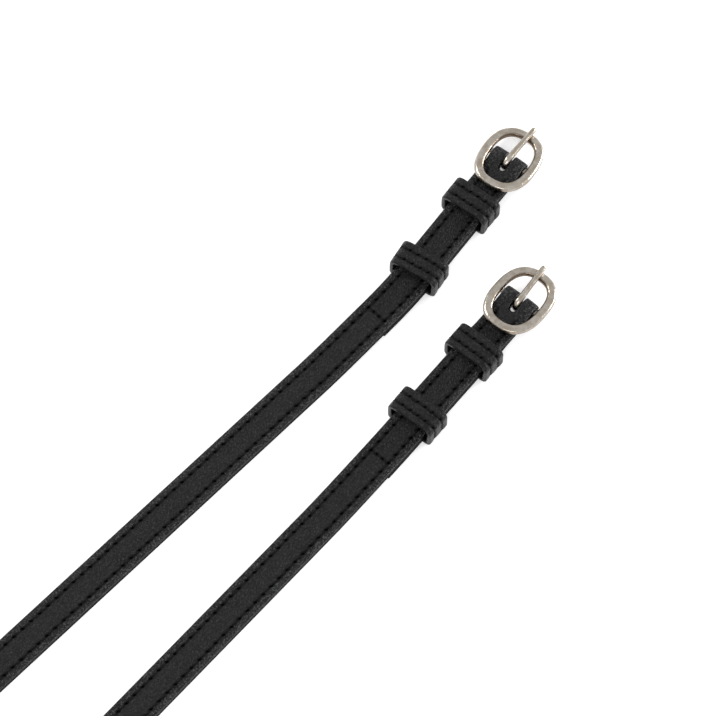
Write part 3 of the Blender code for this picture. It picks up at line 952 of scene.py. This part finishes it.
def make_frame(side, layout):
    bpy.ops.mesh.primitive_torus_add(major_segments=168, minor_segments=28, major_radius=1,
                                     minor_radius=RING_TUBE)
    piece = start_piece(side + "_oval_frame")
    x, y, z = read_points(piece).T
    round_ring = np.arctan2(y, x)
    outwards = (np.hypot(x, y) - 1) / RING_TUBE
    upwards = z / RING_TUBE
    power = 2 / FRAME_SQUARENESS
    half_length = (FRAME_LENGTH - BAND_WIDTH) / 2
    half_width = (FRAME_WIDTH - BAND_WIDTH) / 2

    def oval(angle):
        return (half_length * rounded_power(np.cos(angle), power),
                half_width * rounded_power(np.sin(angle), power))

    centre_x, centre_y = oval(round_ring)
    ahead_x, ahead_y = oval(round_ring + 0.02)
    behind_x, behind_y = oval(round_ring - 0.02)
    length = np.hypot(ahead_x - behind_x, ahead_y - behind_y)
    side_x = (ahead_y - behind_y) / length
    side_y = -(ahead_x - behind_x) / length
    wide = BAND_WIDTH / 2 * rounded_power(outwards, SECTION_WIDE_ROUNDING)
    tall = BAND_HEIGHT / 2 * rounded_power(upwards, SECTION_TALL_ROUNDING)
    write_points(piece, np.stack([centre_x + side_x * wide, centre_y + side_y * wide, BAR_DROP + tall],
                                 axis=1))
    # Mask for the painted shade and reflection: inner walls, part of the outer rim and the underside.
    inner_wall = ease(0.40, 0.80, -outwards)
    outer_wall = 0.45 * ease(0.80, 1.0, outwards)
    keep_value(piece, "recess", np.maximum(np.maximum(inner_wall, outer_wall), ease(0.2, 0.8, -upwards)))
    piece.data.transform(Matrix.Rotation(math.radians(layout["frame_twist"]), 4, "Z"))
    bpy.ops.mesh.primitive_cylinder_add(vertices=40, radius=BAR_RADIUS, depth=2 * half_width,
                                        rotation=(math.pi / 2, 0, 0))
    bar = bpy.context.object
    weld = piece.modifiers.new("centre_bar", "BOOLEAN")
    weld.operation = "UNION"
    weld.object = bar
    apply_modifier(piece, "centre_bar")
    bpy.data.objects.remove(bar, do_unlink=True)
    piece.data.transform(buckle_place(layout))
    smooth_piece(piece, 40)
    finish_piece(piece, side + "_buckle", "nickel", satin_nickel, side + "_buckle_frame")


for side, layout in SIDES.items():
    make_frame(side, layout)

# %% [markdown]
# ## Buckle tongue
# The tongue is wire. A circle is spun about two thirds of the way round the bar for its eye,
# extruded straight out over the far end of the frame, and rounded off at the tip, a little
# blunter on one strap. The eye is hammered a little wider than the wire, and the wire is shown
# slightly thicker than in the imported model.

# %% Buckle tongue
WIRE_RADIUS = 0.0009
WIRE_SHOWN = 0.00098
TONGUE_PLAY = 0.00025
TONGUE_OVERHANG = 0.0009
TONGUE_REST_GAP = GAP * 0.7
EYE_START = 325.0
EYE_WIDER = 1.18


def make_tongue(side, layout):
    loop = BAR_RADIUS + TONGUE_PLAY + WIRE_RADIUS
    rest_x = (FRAME_LENGTH - BAND_WIDTH) / 2
    rest_z = BAR_DROP + BAND_HEIGHT / 2 + TONGUE_REST_GAP + WIRE_SHOWN
    rise = math.atan2(rest_z - loop, rest_x)
    first = math.radians(EYE_START)
    bpy.ops.mesh.primitive_circle_add(vertices=20, radius=WIRE_SHOWN, fill_type="NOTHING",
                                      location=(loop * math.cos(first), 0, loop * math.sin(first)),
                                      rotation=(0, math.pi / 2 - first + math.pi / 2, 0))
    piece = start_piece(side + "_wire_tongue")
    bpy.ops.object.transform_apply(location=True, rotation=True, scale=True)
    bpy.ops.object.mode_set(mode="EDIT")
    bpy.ops.mesh.select_all(action="SELECT")
    bpy.ops.mesh.spin(steps=26, angle=first - math.pi / 2 - rise, center=(0, 0, 0), axis=(0, -1, 0))
    start_x = loop * math.cos(math.pi / 2 + rise)
    reach = (FRAME_LENGTH / 2 + TONGUE_OVERHANG - start_x) / math.cos(rise)
    shares = (0.10, 0.25, 0.45, 0.65, 0.80, 0.88, 0.93, 0.965, 0.985, 1.0)
    blunt = layout["blunt"]
    sizes = (1.0, 1.0, 1.0, 1.0, 1.0, 1.0, 0.99, 0.96, 0.88, 0.60)
    done, size = 0.0, 1.0
    for share, wanted in zip(shares, sizes):
        wanted = max(wanted, blunt)
        step = (share - done) * reach
        bpy.ops.mesh.extrude_region_move(TRANSFORM_OT_translate={
            "value": (step * math.cos(rise), 0, step * math.sin(rise))})
        bpy.ops.transform.resize(value=(wanted / size,) * 3)
        done, size = share, wanted
    bpy.ops.mesh.select_all(action="SELECT")
    bpy.ops.mesh.fill_holes(sides=0)
    bpy.ops.mesh.select_all(action="SELECT")
    bpy.ops.mesh.normals_make_consistent(inside=False)
    bpy.ops.object.mode_set(mode="OBJECT")
    points = read_points(piece)
    eye = 1 - ease(0.0005, 0.0060, points[:, 0])
    points[:, 1] *= 1 + (EYE_WIDER - 1) * eye
    write_points(piece, points)
    soften = piece.modifiers.new("soft_tip", "BEVEL")
    soften.width = 0.00012
    soften.segments = 2
    soften.limit_method = "ANGLE"
    soften.angle_limit = math.radians(50)
    apply_modifier(piece, "soft_tip")
    sideways = Matrix.Rotation(math.radians(layout["tongue_turn"]), 4, "Z")
    piece.data.transform(buckle_place(layout) @ sideways)
    smooth_piece(piece, 50)
    finish_piece(piece, side + "_tongue", "nickel", satin_nickel, side + "_buckle_tongue")


for side, layout in SIDES.items():
    make_tongue(side, layout)

# %% [markdown]
# ## Floor and light
# A plain white floor, which glows a little, and an even white surround leave hardly any shadow.
# Three area lights, at the far side, low on the right and behind the camera, rake across the
# leather so that its edges, grain and sewing show, and put soft highlights on the nickel.

# %% Floor
FLOOR_HEIGHT = -0.00002
bpy.ops.mesh.primitive_plane_add(size=12, location=(0, 0, FLOOR_HEIGHT))
floor = start_piece("floor")
floor_paint, tree, shader = new_material("white_floor")
shader.inputs["Base Color"].default_value = (0.93, 0.93, 0.93, 1)
shader.inputs["Roughness"].default_value = 0.9
shader.inputs["Specular IOR Level"].default_value = 0.0
shader.inputs["Emission Color"].default_value = (1, 1, 1, 1)
shader.inputs["Emission Strength"].default_value = 0.40
floor.data.materials.append(floor_paint)

# %% Lights
world = bpy.data.worlds.new("studio")
bpy.context.scene.world = world
world.use_nodes = True
world.node_tree.nodes["Background"].inputs["Color"].default_value = (0.98, 0.99, 1.0, 1)
world.node_tree.nodes["Background"].inputs["Strength"].default_value = 0.78


def soft_light(name, place, aim, size, power, colour=(1, 1, 1)):
    bpy.ops.object.light_add(type="AREA", location=place)
    light = bpy.context.object
    light.name = name
    light.data.shape = "RECTANGLE"
    light.data.size, light.data.size_y = size
    light.data.energy = power
    light.data.color = colour
    light.rotation_euler = (Vector(place) - Vector(aim)).to_track_quat("Z", "Y").to_euler()


AIM = (0.15, 0.0, 0.0)
soft_light("far_side_window", (0.10, 0.85, 0.70), AIM, (0.45, 0.25), 5.0)
soft_light("low_right_window", (1.20, -0.46, 0.22), AIM, (0.5, 0.3), 9.0)
soft_light("behind_camera", (-0.50, -0.60, 1.00), AIM, (0.8, 0.6), 4.0)
bpy.context.scene.view_settings.view_transform = "Standard"
